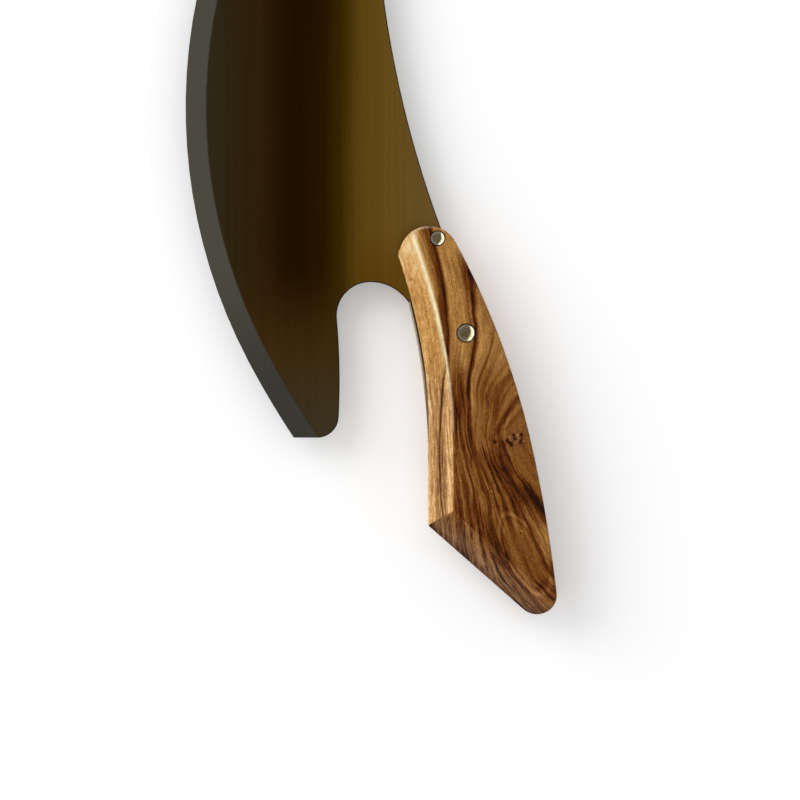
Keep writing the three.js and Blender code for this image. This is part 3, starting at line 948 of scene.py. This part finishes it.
def pin_tree():
    tree = bpy.data.node_groups.new("peened_pin", "GeometryNodeTree")
    sizes = {}
    for name in ("Radius", "Length", "Crown", "Flat", "Flare", "Hammer"):
        sizes[name] = tree.interface.new_socket(name, in_out="INPUT", socket_type="NodeSocketFloat").identifier
    sizes["Place"] = tree.interface.new_socket("Place", in_out="INPUT", socket_type="NodeSocketVector").identifier
    tree.interface.new_socket("Geometry", in_out="OUTPUT", socket_type="NodeSocketGeometry")
    given = tree.nodes.new("NodeGroupInput")
    out = tree.nodes.new("NodeGroupOutput")

    def node(kind, settings=None, sockets=None):
        made = tree.nodes.new(kind)
        for name, value in (settings or {}).items():
            setattr(made, name, value)
        for key, value in (sockets or {}).items():
            if isinstance(value, bpy.types.NodeSocket):
                tree.links.new(value, made.inputs[key])
            else:
                made.inputs[key].default_value = value
        return made

    def sums(operation, *values):
        return node("ShaderNodeMath", {"operation": operation}, dict(enumerate(values))).outputs[0]

    grid = node("GeometryNodeMeshGrid", None, {
        "Size X": 1.0, "Size Y": 1.0, "Vertices X": ROUND_STEPS, "Vertices Y": PROFILE_STEPS})
    place = node("ShaderNodeSeparateXYZ", None, {0: node("GeometryNodeInputPosition").outputs[0]})
    turn = sums("MULTIPLY", place.outputs["X"], 2 * math.pi)
    end = sums("MULTIPLY", sums("ABSOLUTE", place.outputs["Y"]), 2.0)
    side = sums("SIGN", place.outputs["Y"])
    rod_share = sums("DIVIDE", end, 1 - DOME_SHARE)
    on_rod = sums("MINIMUM", rod_share, 1.0)
    reach = sums("MINIMUM", sums("DIVIDE", sums("SUBTRACT", 1.0, end), DOME_SHARE), 1.0)
    flared = sums("MULTIPLY", sums("POWER", on_rod, FLARE_POWER), given.outputs["Flare"])
    radius = sums("MULTIPLY", reach, sums("ADD", given.outputs["Radius"], flared))
    half = sums("MULTIPLY", given.outputs["Length"], 0.5)
    rod_end = sums("SUBTRACT", half, given.outputs["Crown"])
    past_flat = sums("MAXIMUM", sums("SUBTRACT", reach, given.outputs["Flat"]), 0.0)
    slope = sums("DIVIDE", past_flat, sums("SUBTRACT", 1.0, given.outputs["Flat"]))
    rise = sums("MULTIPLY", given.outputs["Crown"], sums("SUBTRACT", 1.0, sums("MULTIPLY", slope, slope)))
    height = sums("MULTIPLY", side, sums("ADD", sums("MULTIPLY", on_rod, rod_end), rise))
    flat = node("ShaderNodeCombineXYZ", None, {
        0: sums("MULTIPLY", radius, sums("COSINE", turn)),
        1: sums("MULTIPLY", radius, sums("SINE", turn)),
        2: height})
    lumps = node("ShaderNodeTexNoise", None, {"Vector": flat.outputs[0], "Scale": 700.0, "Detail": 1.0})
    dent = sums("MULTIPLY", sums("MULTIPLY", lumps.outputs[0], given.outputs["Hammer"]), sums("MULTIPLY", side, -1.0))
    dented = node("ShaderNodeVectorMath", {"operation": "ADD"}, {
        0: flat.outputs[0], 1: node("ShaderNodeCombineXYZ", None, {2: dent}).outputs[0]})
    moved = node("ShaderNodeVectorMath", {"operation": "ADD"}, {0: dented.outputs[0], 1: given.outputs["Place"]})
    marked = node("GeometryNodeStoreNamedAttribute", {"data_type": "FLOAT", "domain": "POINT"}, {
        "Geometry": grid.outputs["Mesh"], "Name": "head_reach", "Value": reach})
    wrapped = node("GeometryNodeSetPosition", None, {"Geometry": marked.outputs[0], "Position": moved.outputs[0]})
    closed = node("GeometryNodeMergeByDistance", None, {"Geometry": wrapped.outputs[0], "Distance": WELD})
    smooth = node("GeometryNodeSetShadeSmooth", None, {"Geometry": closed.outputs[0], "Shade Smooth": True})
    real = node("GeometryNodeRealizeInstances", None, {"Geometry": smooth.outputs[0]})
    painted = node("GeometryNodeSetMaterial", None, {"Geometry": real.outputs[0], "Material": PIN_METAL})
    tree.links.new(painted.outputs[0], out.inputs[0])
    return tree, sizes


PIN_TREE, PIN_SIZES = pin_tree()
print(PIN_TREE.name, "nodes", len(PIN_TREE.nodes), "inputs", sorted(PIN_SIZES))

# %% Pin pieces
PIN_CROWN = 0.42 * MM
HEAD_FLAT = 0.28
HEAD_FLARE = 0.28 * MM
HAMMER_DENT = 0.05 * MM


def add_pin(node, name):
    low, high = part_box(node)
    size = high - low
    piece = bpy.data.objects.new(name, bpy.data.meshes.new(name))
    bpy.context.scene.collection.objects.link(piece)
    modifier = piece.modifiers.new("peened_pin", "NODES")
    modifier.node_group = PIN_TREE
    modifier[PIN_SIZES["Radius"]] = size.x / 2
    modifier[PIN_SIZES["Length"]] = size.z
    modifier[PIN_SIZES["Crown"]] = PIN_CROWN
    modifier[PIN_SIZES["Flat"]] = HEAD_FLAT
    modifier[PIN_SIZES["Flare"]] = HEAD_FLARE
    modifier[PIN_SIZES["Hammer"]] = HAMMER_DENT
    modifier[PIN_SIZES["Place"]] = (low + high) / 2
    view = bpy.context.evaluated_depsgraph_get()
    piece.data = bpy.data.meshes.new_from_object(piece.evaluated_get(view))
    piece.modifiers.clear()
    shell = bmesh.new()
    shell.from_mesh(piece.data)
    bmesh.ops.recalc_face_normals(shell, faces=shell.faces)
    shell.to_mesh(piece.data)
    shell.free()
    piece.data.set_sharp_from_angle(angle=math.radians(50))
    dress(piece, "pin_metal", node)
    return piece


add_pin("front_pin", "peened_front_pin")
add_pin("rear_pin", "peened_rear_pin")
